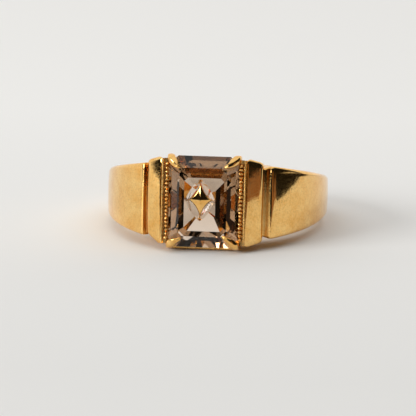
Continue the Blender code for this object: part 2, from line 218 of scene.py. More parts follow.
def make_piece(name, skins, material, nodes, sharp):
    """One object from closed skins, shaded smooth except where faces meet at more than sharp degrees."""
    corners, triangles, start = [], [], 0
    for skin in skins:
        skin_corners, skin_triangles = welded(*skin)
        corners.append(skin_corners)
        triangles.append(outward(skin_corners, skin_triangles) + start)
        start += len(skin_corners)
    corners, triangles = np.vstack(corners), np.vstack(triangles)
    mesh = bpy.data.meshes.new(name)
    mesh.vertices.add(len(corners))
    mesh.vertices.foreach_set("co", corners.ravel())
    mesh.loops.add(triangles.size)
    mesh.loops.foreach_set("vertex_index", triangles.ravel())
    mesh.polygons.add(len(triangles))
    mesh.polygons.foreach_set("loop_start", np.arange(0, triangles.size, 3))
    mesh.update(calc_edges=True)
    mesh.validate()
    mesh.shade_smooth()
    mesh.set_sharp_from_angle(angle=math.radians(sharp))
    mesh.materials.append(material)
    piece = bpy.data.objects.new(name, mesh)
    bpy.context.scene.collection.objects.link(piece)
    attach(piece, "root")
    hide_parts(*nodes)
    return piece


def parabola(start, corner, end, t):
    """Points on the parabola from start to end whose tangents there meet at the corner. t is from 0 to 1."""
    return (1 - t) ** 2 * start + 2 * t * (1 - t) * corner + t**2 * end


def rounded_corners(corners, radius, steps=6):
    """A polygon with each corner replaced by a parabola that touches both sides at the radius's distance.
    corners is an array of (..., corner, 2), and radius is one number or one per corner."""
    radius = np.broadcast_to(radius, corners.shape[-2])[:, None]
    before, after = np.roll(corners, 1, -2), np.roll(corners, -1, -2)
    to_before, to_after = before - corners, after - corners
    start = corners + radius * to_before / np.linalg.norm(to_before, axis=-1, keepdims=True)
    end = corners + radius * to_after / np.linalg.norm(to_after, axis=-1, keepdims=True)
    t = np.linspace(0, 1, steps)[:, None]
    curve = parabola(start[..., None, :], corners[..., None, :], end[..., None, :], t)
    return curve.reshape(*corners.shape[:-2], -1, 2)


def evenly(outlines, count):
    """Closed outlines given again by count points, evenly spaced along the middle one of them."""
    closed = np.concatenate((outlines, outlines[..., :1, :]), -2)
    middle = closed[len(closed) // 2]
    run = np.concatenate(([0], np.cumsum(np.linalg.norm(np.diff(middle, axis=0), axis=-1))))
    place = np.interp(np.arange(count) * run[-1] / count, run, np.arange(len(run)))
    i = place.astype(int)
    f = (place - i)[:, None]
    return closed[..., i, :] * (1 - f) + closed[..., i + 1, :] * f


def moved_in(corners, distance):
    """A convex polygon with every side moved in by the distance. distance may be one per row."""
    sides = np.roll(corners, -1, -2) - corners
    sides /= np.linalg.norm(sides, axis=-1, keepdims=True)
    area = np.sum(corners[:, 0] * np.roll(corners[:, 1], -1) - np.roll(corners[:, 0], -1) * corners[:, 1])
    normals = np.stack((sides[:, 1], -sides[:, 0]), -1) * np.sign(area)
    both = normals + np.roll(normals, 1, 0)
    both /= 1 + np.sum(normals * np.roll(normals, 1, 0), -1, keepdims=True)
    return corners - np.asarray(distance)[..., None, None] * both


def prism_rows(corners, half, radius, steps=6):
    """Rows of a bar along z: at each end the outline moves in along a quarter circle as z nears the end.
    Returns the outline at each row and z as a share of the half length."""
    turn = np.linspace(0, math.pi / 2, steps)
    end_z = half - radius + radius * np.sin(turn)
    end_in = radius * (1 - np.cos(turn))
    middle = np.linspace(-half + radius, half - radius, 24)[1:-1]
    z = np.concatenate((-end_z[::-1], middle, end_z))
    inset = np.concatenate((end_in[::-1], np.zeros(len(middle)), end_in))
    return moved_in(corners, inset), z / half


# Band


def outside_radius(angle, sizes):
    """Distance from the hole's centre to the band's outside: an ellipse in front, a circle behind."""
    sine, cosine = np.sin(angle), np.maximum(np.cos(angle), 0)
    return np.where(
        angle < math.pi / 2,
        1 / np.hypot(sine / sizes.side_radius, cosine / sizes.dome_front),
        sizes.side_radius,
    )


def band_outline():
    """The band's cross-section: for each point the side it is on (1 outside, 0 inside), its place across the
    width from 1 to -1, and the turn of its corner arc in radians."""
    arc = np.linspace(0, 90, 9)
    across = np.linspace(1, -1, 17)[1:-1]
    outside = np.concatenate((np.ones(9), np.zeros(18), np.ones(9 + 15)))
    place = np.concatenate((np.ones(9), np.ones(9), -np.ones(9), -np.ones(9), across[::-1]))
    turn = np.concatenate((arc, arc + 90, arc + 180, arc + 270, np.zeros(15)))
    return outside, place, np.radians(turn)


# The half widths of the arm and of the band at the groove, and how much more they swell than the band.
ARM_HALF, GROOVE_HALF, FRONT_SWELL = 3.4 * MM, 3.0 * MM, 1.6


def shoulder_rows(sizes, shoulder):
    """Stations from the shoulder's angle round to the back. Each holds the inner and outer point as (x,
    front), half width, outer rounding and crown. The width falls with a power of the angle, and the inner
    points start 2 degrees further round than the outer ones."""
    share = np.linspace(0, 1, 220)
    angle = shoulder + share * (math.pi - shoulder)
    inner_angle = angle + math.radians(2) * (1 - share) ** 4
    radius = outside_radius(angle, sizes)
    return np.stack(
        (
            sizes.finger_radius * np.sin(inner_angle),
            sizes.finger_radius * np.cos(inner_angle),
            radius * np.sin(angle),
            radius * np.cos(angle),
            0.5 * (sizes.back_width + (sizes.shoulder_width - sizes.back_width) * (1 - share) ** 2.1),
            sizes.shoulder_edge + (sizes.back_edge - sizes.shoulder_edge) * np.minimum(1, 3 * share),
            np.full(len(share), sizes.crown),
        ),
        -1,
    )


def band_rows(sizes, shoulder):
    """Stations of one half, from the arm beside the stone over the groove and round to the back. The groove's
    bottom and the shoulder's front edge are parabolas between straight stretches."""
    curve = shoulder_rows(sizes, shoulder)
    swell = FRONT_SWELL * sizes.crown
    arm_inner = math.sqrt(sizes.finger_radius**2 - ARM_X**2)
    groove_turn = shoulder - math.radians(1)
    groove_inner = sizes.finger_radius * np.array([math.sin(groove_turn), math.cos(groove_turn)])
    arm = np.array([ARM_X, arm_inner, ARM_X, ARM_FRONT, ARM_HALF, sizes.shoulder_edge, swell])
    groove = np.array([*groove_inner, GROOVE_X, sizes.groove_front, GROOVE_HALF, sizes.shoulder_edge, swell])
    t = np.linspace(0, 1, 10)[:, None]
    floor_from = groove + 0.1 * (arm - groove)
    floor_to = groove + 0.25 * (curve[0] - groove)
    edge_from = curve[0] + 0.2 * (groove - curve[0])
    straight = arm + t[:-1] * (floor_from - arm)
    floor = parabola(floor_from, groove, floor_to, t)
    chamfer = floor_to + t[1:-1] * (edge_from - floor_to)
    edge = parabola(edge_from, curve[0], curve[2], t)
    return np.concatenate((straight, floor, chamfer, edge, curve[3:]))


def band_half(sizes, shoulder):
    """One half of the band as x, front and height: a rounded rectangle carried along the stations."""
    rows = band_rows(sizes, shoulder)
    inner, outer, half, edge, crown = rows[:, :2], rows[:, 2:4], rows[:, 4:5], rows[:, 5:6], rows[:, 6:]
    outside, place, turn = band_outline()
    thickness = np.linalg.norm(outer - inner, axis=-1, keepdims=True)
    direction = (outer - inner) / thickness
    rounding = outside * edge + (1 - outside) * sizes.inner_edge
    depth = outside * (thickness - rounding) + (1 - outside) * rounding + rounding * np.cos(turn)
    height = place * (half - rounding) + rounding * np.sin(turn)
    depth += outside * crown * (1 - np.minimum(1, np.abs(height) / half) ** 2)
    return inner[:, :1] + direction[:, :1] * depth, inner[:, 1:] + direction[:, 1:] * depth, height


def band_skin(sizes):
    """The right half from its arm round to the back, then the left half from the back to its arm."""
    right = ring_points(*band_half(sizes, sizes.right_start))
    x, front, height = (rows[-2::-1] for rows in band_half(sizes, sizes.left_start))
    return tube(np.concatenate((right, ring_points(-x, front, height))))


# Bars


# How far the bars stand off the arm, how the section is rounded at its inner foot, inner top, outer top and
# outer foot, and the share of the half length at which each bar's face swells most.
BAR_GAP = 0.05 * MM
BAR_ROUNDING = np.array([0.05, 0.14, 0.32, 0.05]) * MM
SWELL_PLACE = {-1: 0.1, 1: 0.5}


def bar_skin(side, sizes, groove_front):
    """A four-sided outline carried along the finger. Its half length shrinks evenly from the inner edge to
    the outer, and to the worn half length at the left bar's lower corner. The face swells by a parabola each
    way."""
    slope = (ARM_FRONT - groove_front) / (GROOVE_X - ARM_X)
    foot_inner = ARM_FRONT + BAR_GAP - slope * (sizes.inner_x - ARM_X)
    foot_outer = ARM_FRONT + BAR_GAP - slope * (sizes.outer_x - ARM_X)
    corners = np.array(
        [
            [sizes.inner_x, foot_inner],
            [sizes.inner_x, sizes.inner_front],
            [sizes.outer_x, sizes.outer_front],
            [sizes.outer_x, foot_outer],
        ]
    )
    outlines, share = prism_rows(corners, sizes.inner_half, sizes.edge)
    rounded = rounded_corners(outlines, BAR_ROUNDING)
    x, front = np.moveaxis(evenly(rounded, 120), -1, 0)
    across = np.clip((x - sizes.inner_x) / (sizes.outer_x - sizes.inner_x), 0, 1)
    above = sizes.inner_half + across * (sizes.outer_half - sizes.inner_half)
    worn = sizes.worn_half if side < 0 else sizes.outer_half
    below = sizes.inner_half + across * (worn - sizes.inner_half)
    share = share[:, None]
    z = np.where(share > 0, share * above, share * below)
    # The swell goes out along the face's normal, about (0.6, 0.8), and fades out 0.5 mm below the face.
    face = sizes.inner_front + across * (sizes.outer_front - sizes.inner_front)
    on_face = np.clip(1 - (face - front) / (0.5 * MM), 0, 1)
    sunk = 0.3 * (2 * across - 1) ** 2 + (share - SWELL_PLACE[side]) ** 2
    swell = -on_face * sizes.crown * sunk
    return tube(ring_points(side * (x + 0.6 * swell), front + 0.8 * swell, z))


# Setting


# The lip outside the beads: where it starts, how high it stands, how far it overhangs the wall, and where its
# foot slopes back to the wall. Then the rounding of each corner of the wall's section.
LIP_X, LIP_FRONT, LIP_OVERHANG = 3.52 * MM, 12.36 * MM, 0.08 * MM
LIP_FOOT, LIP_FOOT_END = 11.52 * MM, 11.45 * MM
WALL_ROUNDING = np.array([0.03, 0.03, 0.03, 0.1, 0.1, 0.03, 0.03, 0.03]) * MM
# Half sizes of the gallery's frame along x, and of its opening along x and z.
GALLERY_HALF_X, OPENING_HALF_X, OPENING_HALF_Z = 3.345 * MM, 2.35 * MM, 2.65 * MM
# The end rails' sections as (front, z) corners, how far their corners are rounded, and their half length.
UPPER_RAIL = np.array([[10.75, 3.26], [10.93, 3.33], [11.08, 3.47], [11.36, 3.68], [10.75, 3.68]]) * MM
LOWER_RAIL = np.array([[10.75, -3.5], [11.05, -3.5], [11.5, -3.8], [11.5, -4.22], [10.75, -4.22]]) * MM
UPPER_ROUNDING, LOWER_ROUNDING = 0.04 * MM, 0.13 * MM
RAIL_HALF = 3.2 * MM


def wall_skin(side, sizes, finger_radius):
    """A side wall: a straight profile with a seat for the beads and a lip outside it, carried along the
    finger. Its half length grows evenly from the finger hole to the seat."""
    inner, outer = sizes.wall_inner, sizes.wall_outer
    foot = math.sqrt(finger_radius**2 - inner**2)
    corners = np.array(
        [
            [inner, foot],
            [inner, SEAT_FRONT],
            [LIP_X, SEAT_FRONT],
            [LIP_X, LIP_FRONT],
            [outer + LIP_OVERHANG, LIP_FRONT],
            [outer + LIP_OVERHANG, LIP_FOOT],
            [outer, LIP_FOOT_END],
            [outer, math.sqrt(finger_radius**2 - outer**2)],
        ]
    )
    profile = rounded_corners(corners, WALL_ROUNDING)
    share = np.clip((profile[:, 1] - foot) / (SEAT_FRONT - foot), 0, 1)
    half = sizes.foot_half + share * (sizes.wall_half - sizes.foot_half)
    z = np.linspace(-1, 1, 20)[:, None] * half
    return tube(ring_points(side * profile[None, :, 0], profile[None, :, 1], z))


def gallery_skin(sizes, finger_radius):
    """A flat frame whose back follows the finger's circle: a four-cornered section carried round a
    rectangle."""
    t = np.linspace(-1, 1, 17)[:-1]
    one = np.ones(16)
    around_x = np.concatenate((t, one, -t, -one))
    around_z = np.concatenate((-one, t, one, -t))
    outer_x, inner_x = GALLERY_HALF_X * around_x, OPENING_HALF_X * around_x
    outer_z, inner_z = sizes.foot_half * around_z, OPENING_HALF_Z * around_z
    x = np.stack((outer_x, inner_x, inner_x, outer_x), -1)
    z = np.stack((outer_z, inner_z, inner_z, outer_z), -1)
    front = np.full(x.shape, sizes.gallery_front)
    front[:, 2:] = np.sqrt(finger_radius**2 - x[:, 2:] ** 2)
    return tube(ring_points(x, front, z), wrap=True)


def end_rail_skins():
    """Two bars across the stone's ends, their inner faces cut back from the stone. Each is a straight
    profile."""
    x = np.linspace(-RAIL_HALF, RAIL_HALF, 24)[:, None]
    skins = []
    for corners, radius in ((UPPER_RAIL, UPPER_ROUNDING), (LOWER_RAIL, LOWER_ROUNDING)):
        profile = rounded_corners(corners, radius)
        skins.append(tube(ring_points(x, profile[None, :, 0], profile[None, :, 1])))
    return skins


# A claw's centre line as x, front and z, with its half width and half depth there, in millimetres.
CLAW_LINE = np.array(
    [
        (2.80, 8.90, 3.27, 0.34, 0.35),
        (2.84, 10.20, 3.48, 0.35, 0.37),
        (2.90, 11.40, 3.70, 0.37, 0.39),
        (2.93, 12.05, 3.82, 0.38, 0.40),
        (2.86, 12.55, 3.74, 0.39, 0.34),
        (2.62, 12.86, 3.48, 0.36, 0.27),
        (2.32, 13.00, 3.20, 0.28, 0.22),
        (2.06, 13.02, 2.97, 0.15, 0.15),
    ]
)
# How far forward the claw starts to bend in, and the row of the line that stands farthest out.
CLAW_BEND_FRONT, CLAW_WIDEST = 12.0, 3
# How far each claw's tip strays from that line, in x and z, in millimetres.
CLAW_STRAY = {(-1, -1): (0.12, -0.26), (1, -1): (-0.2, 0.02), (-1, 1): (-0.08, 0.06), (1, 1): (-0.1, 0.17)}
# Rows along the claw and in its rounded tip, and how far the tip goes on from the line's end. Then the powers
# that draw the section: a ridge outside and a full round inside.
CLAW_ROWS, TIP_ROWS, TIP_LENGTH = 56, 8, 0.12 * MM
RIDGE_POWER, ROUND_POWER = 1.4, 2.2


def smooth_line(points, count):
    """A curve through the points: each stretch is the cubic whose slopes match its neighbours'."""
    t = np.linspace(0, len(points) - 1, count)
    i = np.minimum(t.astype(int), len(points) - 2)
    f = (t - i)[:, None]
    slope = np.gradient(points, axis=0)
    a, b, sa, sb = points[i], points[i + 1], slope[i], slope[i + 1]
    rise = 3 * f**2 - 2 * f**3
    return (1 - rise) * a + rise * b + (f**3 - 2 * f**2 + f) * sa + (f**3 - f**2) * sb


def claw_skin(flip_x, flip_z):
    """A claw: a section with a ridge outside, carried along a curve that bends in over the stone's corner.
    The last rows close to a point along a quarter circle."""
    strayed = CLAW_LINE.copy()
    widest, tip_x = CLAW_LINE[CLAW_WIDEST, 0], CLAW_LINE[-1, 0]
    share = np.where(strayed[:, 1] > CLAW_BEND_FRONT, (widest - strayed[:, 0]) / (widest - tip_x), 0)
    stray_x, stray_z = CLAW_STRAY[(flip_x, flip_z)]
    strayed[:, 0] += share * flip_x * stray_x
    strayed[:, 2] += share * flip_z * stray_z
    line = smooth_line(strayed * MM, CLAW_ROWS)
    centre, wide, deep = line[:, :3], line[:, 3], line[:, 4]
    along = np.gradient(centre, axis=0)
    along /= np.linalg.norm(along, axis=-1, keepdims=True)
    corner = np.array([1.0, 0.0, 1.0]) / math.sqrt(2)
    # The axes (x, front, z) are left-handed, but make_piece turns the skin outward, so that doesn't matter.
    sideways = np.cross(along, corner)
    sideways /= np.linalg.norm(sideways, axis=-1, keepdims=True)
    outwards = np.cross(sideways, along)
    outwards *= np.sign(outwards @ corner)[:, None]
    closing = np.linspace(0, 1, TIP_ROWS + 1)[1:]
    tip = centre[-1] + closing[:, None] * along[-1] * TIP_LENGTH
    shrink = np.sqrt(np.maximum(0, 1 - closing**2))
    centre = np.vstack((centre, tip))
    wide = np.concatenate((wide, wide[-1] * shrink))
    deep = np.concatenate((deep, deep[-1] * shrink))
    sideways = np.vstack((sideways, np.repeat(sideways[-1:], TIP_ROWS, 0)))
    outwards = np.vstack((outwards, np.repeat(outwards[-1:], TIP_ROWS, 0)))
    turn = np.linspace(0, 2 * math.pi, 33)[:-1]
    cosine, sine = np.cos(turn), np.sin(turn)
    power = np.where(sine > 0, RIDGE_POWER, ROUND_POWER)
    radius = (np.abs(cosine) ** power + np.abs(sine) ** power) ** (-1 / power)
    across, out = radius * cosine, radius * sine
    points = (
        centre[:, None]
        + sideways[:, None] * wide[:, None, None] * across[None, :, None]
        + outwards[:, None] * deep[:, None, None] * out[None, :, None]
    )
    return tube(ring_points(flip_x * points[..., 0], points[..., 1], flip_z * points[..., 2]))


# How far the beads stand off their seat and lean over the stone.
BEAD_GAP, BEAD_LEAN = 0.05 * MM, 0.06 * MM
# Rows along one bead. Then the share of full size that is left between beads, what a bead adds to it, how
# much less the smallest bead adds, and the power of the sine that it follows.
BEAD_ROWS = 12
BEAD_NECK, BEAD_SWELL, BEAD_SCATTER, BEAD_POWER = 0.3, 0.68, 0.3, 0.6
# Where the right rail's beads start to count, so that they don't repeat the sizes of the left rail's.
RIGHT_RAIL_START = 31


def bead_skin(side, sizes):
    """Beads grown together: a round-topped section whose size follows a power of the bare sine of the place
    along the rail. Each bead is smaller than full size by a share scattered by its number. The beads lean a
    little over the stone's edge."""
    step = np.arange(sizes.bead_count * BEAD_ROWS + 1)
    z = sizes.bead_pitch * (step / BEAD_ROWS - sizes.bead_count / 2)
    number = step // BEAD_ROWS + RIGHT_RAIL_START * (side > 0)
    small = np.modf(np.abs(np.sin(12.9898 * number) * 43758.5453))[0]
    swell = np.abs(np.sin(math.pi * step / BEAD_ROWS)) ** BEAD_POWER
    size = (BEAD_NECK + (BEAD_SWELL - BEAD_SCATTER * small) * swell)[:, None]
    # The section is half an ellipse from 0.42 of the height up, over a foot 0.7 times as wide.
    turn = np.linspace(0, math.pi, 15)
    across = np.concatenate((np.cos(turn), [-0.7, 0.7]))
    up = np.concatenate((0.42 + 0.58 * np.sin(turn), [0.0, 0.0]))
    lean = -BEAD_LEAN * np.clip(2 * up, 0, 1)
    x = sizes.bead_x + sizes.bead_half * across * size + lean
    front = SEAT_FRONT + BEAD_GAP + sizes.bead_height * up * size
    return tube(ring_points(side * x, front, z[:, None]))


# Stone and star


# How far in each step ends on the right, top, left and bottom, the size of its cut corners and how far out
# or down it reaches, in millimetres.
CROWN_STEPS = (((0.3, 0.62, 0.3, 0.62), 0.68, 0.38), ((1.0, 1.0, 1.0, 1.0), 0.54, 0.84))
PAVILION_STEPS = (
    ((0.45, 0.6, 0.38, 0.4), 0.68, 0.6),
    ((1.43, 2.0, 1.25, 1.31), 0.3, 1.9),
    ((2.23, 3.02, 2.27, 2.55), 0.12, 2.58),
)
GIRDLE_INSETS = (0.0, 0.0, 0.0, 0.0)
KEEL_X, KEEL_TOP, KEEL_BOTTOM = -0.2 * MM, 0.35 * MM, -0.68 * MM
# The star's middle as (x, z), and the powers that draw its outline and the recess's.
STAR_MIDDLE = np.array([-0.23, 0.2]) * MM
STAR_POWER = 0.62
CUT_POWER = 1.3
# How deep the hole goes below the table, and how far it stands off the star.
HOLE_DEPTH, STAR_GAP = 0.55 * MM, 0.06 * MM
# How far below the table the star's foot, its sides' last row but one, their top, its rim and its middle lie.
STAR_FOOT, SIDE_ROW, SIDE_TOP, RIM_TOP, STAR_DIP = 0.52 * MM, 0.29 * MM, 0.27 * MM, 0.16 * MM, 0.07 * MM
# The part of the star's reach that its rim takes up, and the shares of that reach at which its rows lie.
RIM_SHARE = 0.18
STAR_ROWS = (1.0, 0.985, 0.96, 0.92, 0.87, 0.82, 0.77, 0.7, 0.6, 0.5, 0.4, 0.3, 0.2, 0.1, 0.04)


def octagon(insets, corner, sizes):
    """The stone's outline moved in on its right, top, left and bottom, as eight (x, z) corners."""
    right, top, left, bottom = (inset * MM for inset in insets)
    right, top = sizes.half_width - right, sizes.half_length - top
    left, bottom = left - sizes.half_width, bottom - sizes.half_length
    return np.array(
        [
            [right, top - corner],
            [right - corner, top],
            [left + corner, top],
            [left, top - corner],
            [left, bottom + corner],
            [left + corner, bottom],
            [right - corner, bottom],
            [right, bottom + corner],
        ]
    )


def star_angles(table):
    """Directions from the star's middle: evenly spread, close together near the four points, and one to each
    corner of the table."""
    near = np.array([0.0, 0.4, 1.0, 1.8, 2.8, 4.2, 6.0, 8.5, 12.0])
    near = np.radians(np.concatenate((-near[:0:-1], near)))
    points = (np.arange(4) * math.pi / 2)[:, None] + near
    to_corners = table - STAR_MIDDLE
    corners = np.arctan2(to_corners[:, 1], to_corners[:, 0])
    spread = np.radians(np.arange(12, 360, 2.5))
    spread = spread[np.abs((np.degrees(spread) + 45) % 90 - 45) > 12.5]
    angles = np.concatenate((points.ravel(), corners, spread)) % (2 * math.pi)
    return np.unique(np.round(angles, 7))


def curve_point(angles, half_x, half_z, power):
    """Where a ray at each angle from the star's middle meets the curve on which the powers of x and z over
    their halves add up to 1."""
    cosine, sine = np.cos(angles), np.sin(angles)
    reach = (np.abs(cosine / half_x) ** power + np.abs(sine / half_z) ** power) ** (-1 / power)
    return STAR_MIDDLE + reach[:, None] * np.stack((cosine, sine), -1)


def side_shares(angles, table):
    """For each direction from the star's middle, the side of the table that it meets and the share along
    it."""
    to_corners = table - STAR_MIDDLE
    start = np.arctan2(to_corners[:, 1], to_corners[:, 0]) % (2 * math.pi)
    order = np.argsort(start)
    side = order[np.searchsorted(start[order], angles + 1e-6, side="right") - 1]
    a, b = to_corners[side], to_corners[(side + 1) % 8]
    ray = np.stack((np.cos(angles), np.sin(angles)), -1)
    run = b - a
    share = (a[:, 0] * ray[:, 1] - a[:, 1] * ray[:, 0]) / (ray[:, 0] * run[:, 1] - ray[:, 1] * run[:, 0])
    return side, np.clip(share, 0, 1)


def facet_steps(sizes):
    """The octagons from the last pavilion step up over the girdle to the table, each as its insets, the size
    of its cut corners and how far forward it lies."""
    below = sizes.girdle_front - sizes.girdle / 2
    above = sizes.girdle_front + sizes.girdle / 2
    steps = [(insets, cut * MM, below - depth * MM) for insets, cut, depth in PAVILION_STEPS[::-1]]
    steps += [(GIRDLE_INSETS, sizes.corner, front) for front in (below, above)]
    return steps + [(insets, cut * MM, above + rise * MM) for insets, cut, rise in CROWN_STEPS]


def recess_rows(angles, front, sizes):
    """The bowl from its rim in the table to the star's hole, falling as a quarter sine, and the hole's
    foot."""
    rim = curve_point(angles, sizes.cut_half_width, sizes.cut_half_length, CUT_POWER)
    half_width, half_length = sizes.star_half_width + STAR_GAP, sizes.star_half_length + STAR_GAP
    hole = curve_point(angles, half_width, half_length, STAR_POWER)
    rows = []
    for t in np.linspace(0, 1, 11):
        place = rim + t * (hole - rim)
        fall = sizes.cut_depth * math.sin(t * math.pi / 2)
        rows.append(ring_points(place[:, 0], front - fall, place[:, 1]))
    rows.append(ring_points(hole[:, 0], front - HOLE_DEPTH, hole[:, 1]))
    return rows


def keel_faces(side, top, bottom):
    """Triangles from the first row to the keel's two ends: each column goes to the end on its side, and one
    triangle fills in where the ends change over on the left and on the right."""
    ends = np.array([top, top, top, bottom, bottom, bottom, bottom, top])[side]
    column = np.arange(len(side))
    following = (column + 1) % len(side)
    # The two sides at which the ends change over start at the column whose neighbour is on another side.
    left, right = (np.flatnonzero((side == k) & (side[column - 1] != k))[0] for k in (3, 7))
    change = np.array([[left, top, bottom], [right, bottom, top]])
    return np.vstack((np.stack((following, column, ends), -1), change))


def stone_skin(sizes):
    """Rows from the last pavilion step out over the girdle and crown to the table, each an octagon met by the
    directions from the star's middle, then down the recess; the keel closes the back."""
    steps = facet_steps(sizes)
    insets, cut, table_front = steps[-1]
    table = octagon(insets, cut, sizes)
    angles = star_angles(table)
    side, share = side_shares(angles, table)
    rows = []
    for insets, cut, front in steps:
        corners = octagon(insets, cut, sizes)
        place = corners[side] + share[:, None] * (corners[(side + 1) % 8] - corners[side])
        rows.append(ring_points(place[:, 0], front, place[:, 1]))
    corners, triangles = tube(np.stack(rows + recess_rows(angles, table_front, sizes)))
    # The keel takes the place of the fan that fills the first row.
    first_fan = len(triangles) - 2 * len(angles)
    triangles = np.delete(triangles, np.s_[first_fan : first_fan + len(angles)], 0)
    keel_front = sizes.girdle_front - sizes.girdle / 2 - sizes.keel_depth
    keel = ring_points(np.full(2, KEEL_X), keel_front, np.array([KEEL_TOP, KEEL_BOTTOM]))
    faces = keel_faces(side, len(corners), len(corners) + 1)
    return np.vstack((corners, keel)), np.vstack((triangles, faces))


def star_skin(sizes):
    """A star with upright sides, a rim that rises as a quarter circle and four faces inside it. Each row of
    the top is the outline shrunk, and inside the rim its height falls with a power of the share."""
    insets, cut = CROWN_STEPS[-1][:2]
    angles = star_angles(octagon(insets, cut * MM, sizes))
    outline = curve_point(angles, sizes.star_half_width, sizes.star_half_length, STAR_POWER)
    rows = []
    for drop in (STAR_FOOT, SIDE_ROW):
        rows.append(ring_points(outline[:, 0], TABLE_FRONT - drop, outline[:, 1]))
    for share in STAR_ROWS:
        place = STAR_MIDDLE + share * (outline - STAR_MIDDLE)
        on_rim = min(1.0, (1 - share) / RIM_SHARE)
        inside = min(1.0, share / (1 - RIM_SHARE))
        rise = (SIDE_TOP - RIM_TOP) * math.sqrt(1 - (1 - on_rim) ** 2)
        rise += (RIM_TOP - STAR_DIP) * (1 - inside**1.5)
        rows.append(ring_points(place[:, 0], TABLE_FRONT - SIDE_TOP + rise, place[:, 1]))
    return tube(np.stack(rows))


# Materials


def add_node(tree, kind, settings=None, links=None):
    """Adds a node, sets its properties or unlinked sockets by name or number, and links others to its
    sockets."""
    node = tree.nodes.new(kind)
    for key, value in (settings or {}).items():
        if isinstance(key, str) and hasattr(node, key):
            setattr(node, key, value)
        else:
            node.inputs[key].default_value = value
    for key, source in (links or {}).items():
        tree.links.new(source, node.inputs[key])
    return node


def new_material(name):
    """An empty node material."""
    material = bpy.data.materials.new(name)
    material.use_nodes = True
    material.node_tree.nodes.clear()
    return material


def polished_gold(finishes):
    """Yellow gold, cast and buffed to a mirror by hand: dark reflections with ragged edges."""
    return gold_material("polished_yellow_gold", finishes, polished=0.035, dull=0.16, soiled=0.2)


def satin_gold(finishes):
    """The same gold in the corners that the wheel didn't reach: soft reflections, never quite dark."""
    return gold_material("satin_yellow_gold", finishes, polished=0.22, dull=0.42, soiled=0.22)


def beaded_gold(finishes):
    """The same gold where a knurled wheel has rolled it into beads: bright specks and dark crevices."""
    return gold_material(
        "beaded_yellow_gold",
        finishes,
        polished=0.1,
        dull=0.25,
        soiled=1.0,
        wave_height=0.00005,
        waves_per_metre=6000.0,
    )


def gold_colour(tree, place, wear, finishes, soiled):
    """Gold with patches of a deeper gold, and with old polish in its pits by the share soiled."""
    # Patches 1 to 2 mm across, with a grain down to 0.05 mm in them.
    patches = add_node(
        tree, "ShaderNodeTexNoise", {"Scale": 700.0, "Detail": 7.0, "Roughness": 0.75}, {"Vector": place}
    ).outputs["Fac"]
    tint = add_node(
        tree, "ShaderNodeMapRange", {"From Min": 0.35, "From Max": 0.7}, {"Value": patches}
    ).outputs["Result"]
    gold = add_node(
        tree,
        "ShaderNodeMix",
        {"data_type": "RGBA", 6: (*finishes.gold, 1.0), 7: (*finishes.gold_deep, 1.0)},
        {0: tint},
    ).outputs[2]
    pits = add_node(
        tree,
        "ShaderNodeMapRange",
        {"From Min": 0.47, "From Max": 0.62, "To Max": soiled},
        {"Value": wear},
    ).outputs["Result"]
    return add_node(
        tree,
        "ShaderNodeMix",
        {"data_type": "RGBA", 7: (*finishes.gold_pits, 1.0)},
        {0: pits, 6: gold},
    ).outputs[2]


# Where the grooves begin beside the bars and end at the shoulders, as distances from the middle, and the
# heights from which and to which their dullness grows downwards. Then how much roughness it adds.
GROOVE_BEGINS, GROOVE_ENDS = (5.04 * MM, 5.16 * MM), (5.8 * MM, 5.5 * MM)
GROOVE_GROWS = (8.5 * MM, 3.5 * MM)
GROOVE_DULLNESS = 0.3


def gold_dullness(tree, place, wear, polished, dull):
    """Roughness from polished to dull by wear, and more in the groove on each side. The grooves stay as dull
    as they were cast, most of all at their lower ends: the wheel didn't reach them."""
    worn = add_node(
        tree,
        "ShaderNodeMapRange",
        {"From Min": 0.4, "From Max": 0.75, "To Min": polished, "To Max": dull},
        {"Value": wear},
    ).outputs["Result"]
    parts = add_node(tree, "ShaderNodeSeparateXYZ", None, {"Vector": place}).outputs
    out = add_node(tree, "ShaderNodeMath", {"operation": "ABSOLUTE"}, {0: parts["X"]}).outputs["Value"]
    past_bar = smooth_share(tree, out, *GROOVE_BEGINS)
    before_shoulder = smooth_share(tree, out, *GROOVE_ENDS)
    low = smooth_share(tree, parts["Z"], *GROOVE_GROWS)
    groove = where_both(tree, where_both(tree, past_bar, before_shoulder), low)
    return add_node(
        tree, "ShaderNodeMath", {"operation": "MULTIPLY_ADD", 1: GROOVE_DULLNESS}, {0: groove, 2: worn}
    ).outputs["Value"]


def gold_relief(tree, place, wave_height, waves_per_metre):
    """Fine scratches, 0.06 mm wide and several times as long, over waves from the buffing wheel or, on the
    beads, over their grain."""
    stretched = add_node(
        tree, "ShaderNodeMapping", {"Scale": (1.0, 1.0, 0.2)}, {"Vector": place}
    ).outputs["Vector"]
    marks = add_node(
        tree,
        "ShaderNodeTexNoise",
        {"Scale": 12000.0, "Detail": 2.0, "Roughness": 0.6},
        {"Vector": stretched},
    ).outputs["Fac"]
    waves = add_node(
        tree,
        "ShaderNodeTexNoise",
        {"Scale": waves_per_metre, "Detail": 2.0, "Roughness": 0.5},
        {"Vector": place},
    ).outputs["Fac"]
    fine = add_node(tree, "ShaderNodeBump", {"Strength": 1.0, "Distance": 0.0000018}, {"Height": marks})
    return add_node(
        tree,
        "ShaderNodeBump",
        {"Strength": 1.0, "Distance": wave_height},
        {"Height": waves, "Normal": fine.outputs["Normal"]},
    ).outputs["Normal"]


